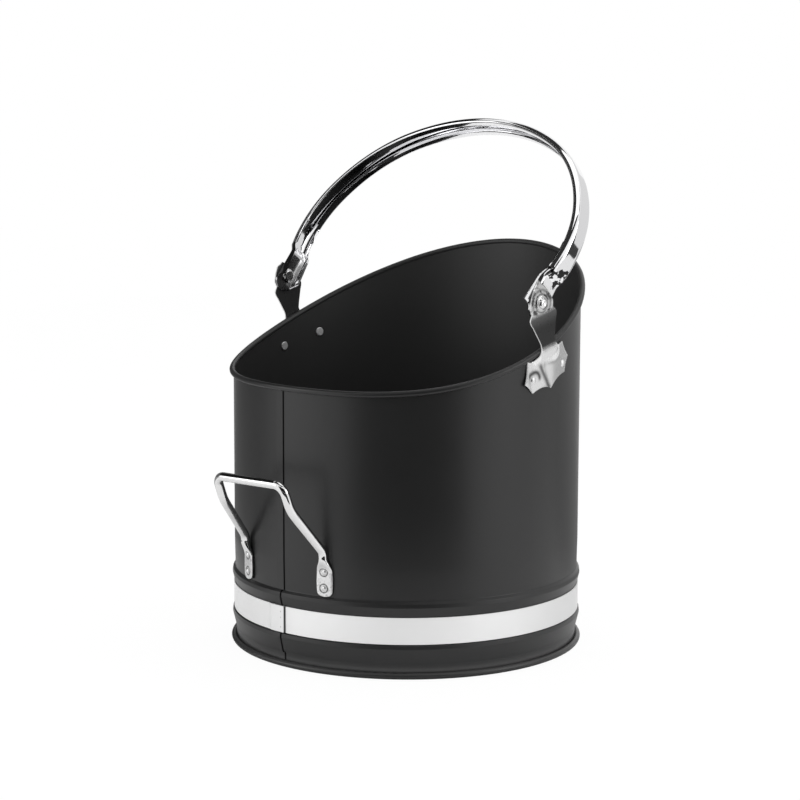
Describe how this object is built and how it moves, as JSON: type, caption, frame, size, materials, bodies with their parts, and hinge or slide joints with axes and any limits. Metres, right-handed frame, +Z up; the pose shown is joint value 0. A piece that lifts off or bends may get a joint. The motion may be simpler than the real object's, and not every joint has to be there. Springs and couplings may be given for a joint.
{
  "type": "log carrier",
  "caption": "Round sheet-steel log carrier with a scooped rim, a bright trim band, a rear grab handle and a swinging bail on two riveted ears.",
  "frame": {"origin": "middle of the foot ring, on the floor plane", "axes": "+Z up; -Y towards the low side of the rim, where the lock seam and the grab handle are; X along the bail's pivots"},
  "size_m": [0.3522, 0.3767, 0.495],
  "materials": {
    "black_enamel": "satin black stove enamel",
    "steel_wire": "plain drawn wire",
    "satin_steel": "satin, brushed along the strip",
    "polished_steel": "polished",
    "plated_ear": "plated, slightly uneven",
    "plated_steel": "plated",
    "plated_rivet": "plated"
  },
  "bodies": {
    "bucket": {"body_shell": "black_enamel", "rim_wire": "steel_wire", "foot_wire": "steel_wire", "base_pan": "black_enamel", "trim_band": "satin_steel", "ear_right": "plated_ear", "ear_left": "plated_ear", "grab_handle": "plated_steel", "pivot_right": "plated_rivet", "inner_washer_right": "plated_rivet", "outer_washer_right": "plated_rivet", "pivot_left": "plated_rivet", "inner_washer_left": "plated_rivet", "outer_washer_left": "plated_rivet", "ear_rivet_right_low": "plated_rivet", "ear_rivet_right_high": "plated_rivet", "ear_rivet_left_low": "plated_rivet", "ear_rivet_left_high": "plated_rivet", "grab_rivet_right_low": "plated_rivet", "grab_rivet_right_high": "plated_rivet", "grab_rivet_left_low": "plated_rivet", "grab_rivet_left_high": "plated_rivet"},
    "bail": {"bail": "polished_steel"}
  },
  "joints": [
    {"name": "bail_hinge", "type": "hinge", "parent": "bucket", "child": "bail", "pos_m": [0, 0, 0.3368], "axis": [1, 0, 0], "range_deg": [-62, 149]}
  ]
}
